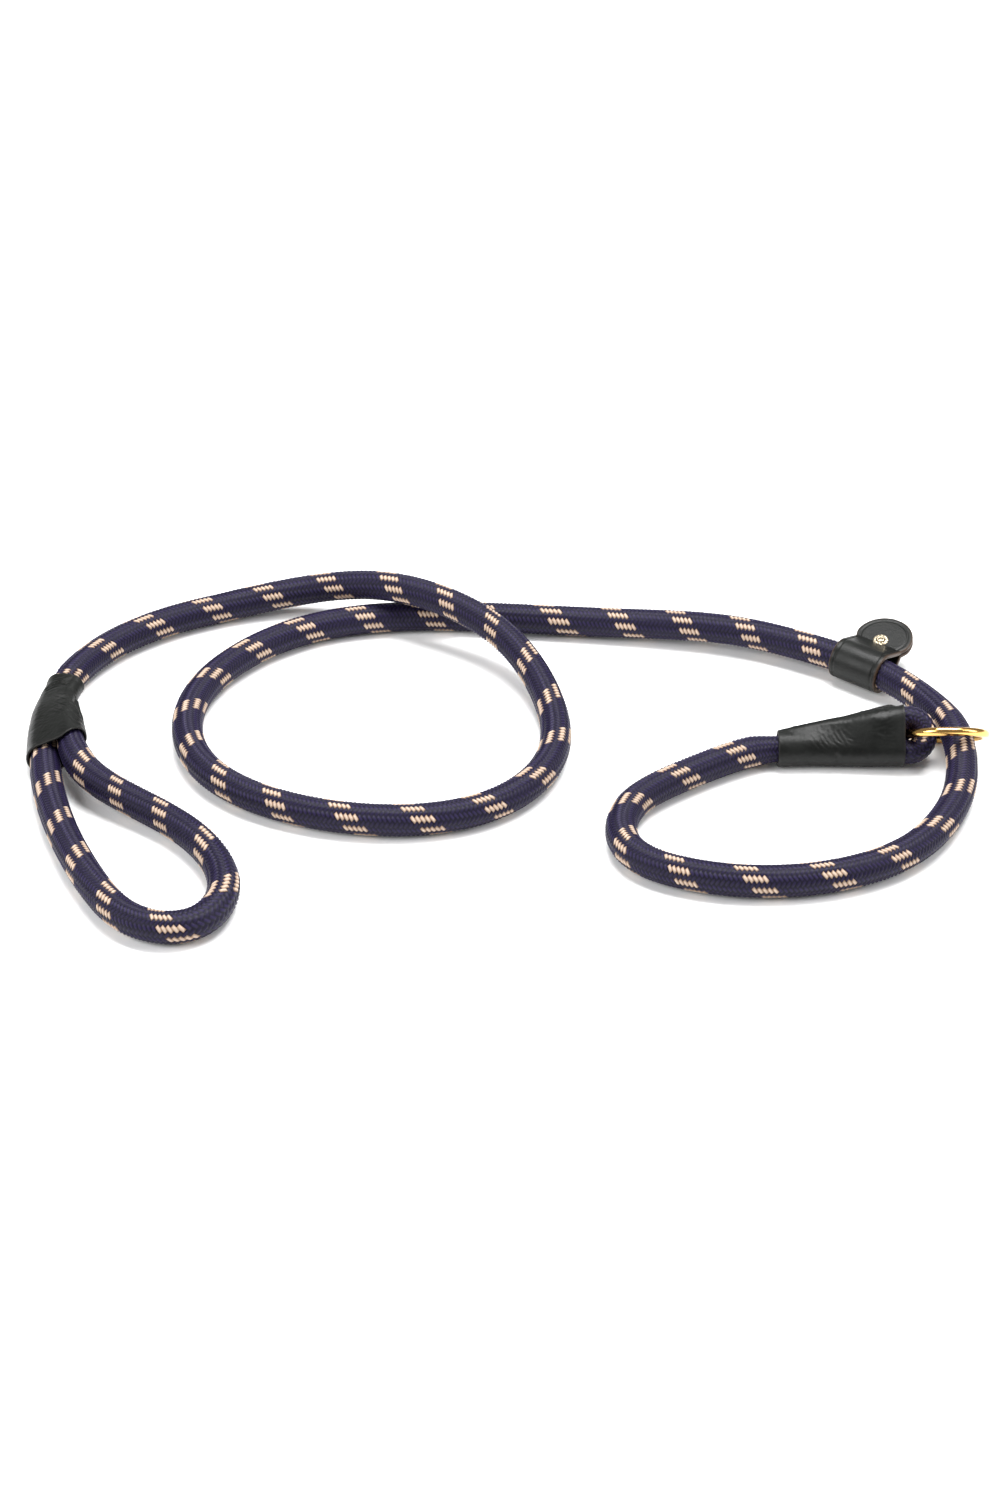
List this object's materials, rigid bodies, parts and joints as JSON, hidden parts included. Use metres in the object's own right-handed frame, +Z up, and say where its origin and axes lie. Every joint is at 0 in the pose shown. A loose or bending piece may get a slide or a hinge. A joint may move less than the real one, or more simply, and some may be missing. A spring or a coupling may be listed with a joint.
{
  "type": "rope slip lead",
  "caption": "Braided rope slip lead laid flat: sleeved hand loop at one end, and a running loop through a brass ring, held by a riveted leather stop.",
  "frame": {"origin": "on the floor, at the centre of the laid-out lead's footprint", "axes": "+X from the handle's end towards the brass ring, +Y towards the loose loop's far side, +Z up"},
  "size_m": [0.3648, 0.2263, 0.0251],
  "materials": {
    "braided_rope": "matt braided fibre, dark navy with beige flecks",
    "black_leather": "soft semi-gloss, finely wrinkled",
    "strap_leather": "satin, with a creased edge line",
    "black_thread": "matt waxed thread",
    "brass": "polished",
    "rivet_metal": "pale plated, lightly worn"
  },
  "bodies": {
    "lead": {"rope_lead": "braided_rope", "rope_eye": "braided_rope", "ring_sleeve": "black_leather", "ring_sleeve_thread": "black_thread", "ring_whipping": "black_thread", "handle_sleeve": "black_leather", "handle_sleeve_thread": "black_thread", "handle_whipping": "black_thread"},
    "ring": {"ring": "brass"},
    "stop": {"stop_strap": "strap_leather", "stop_rivet": "rivet_metal", "stop_rivet_cap": "rivet_metal"}
  },
  "joints": [
    {"name": "ring_swing", "type": "hinge", "parent": "lead", "child": "ring", "pos_m": [0.1514, 0.0027, 0.01105], "axis": [0, -0.766, 0.6428], "range_deg": [0, 8]},
    {"name": "stop_slide", "type": "hinge", "parent": "lead", "child": "stop", "pos_m": [0.0476, -0.0643, 0], "axis": [0, 0, 1], "range_deg": [0, 24]}
  ]
}
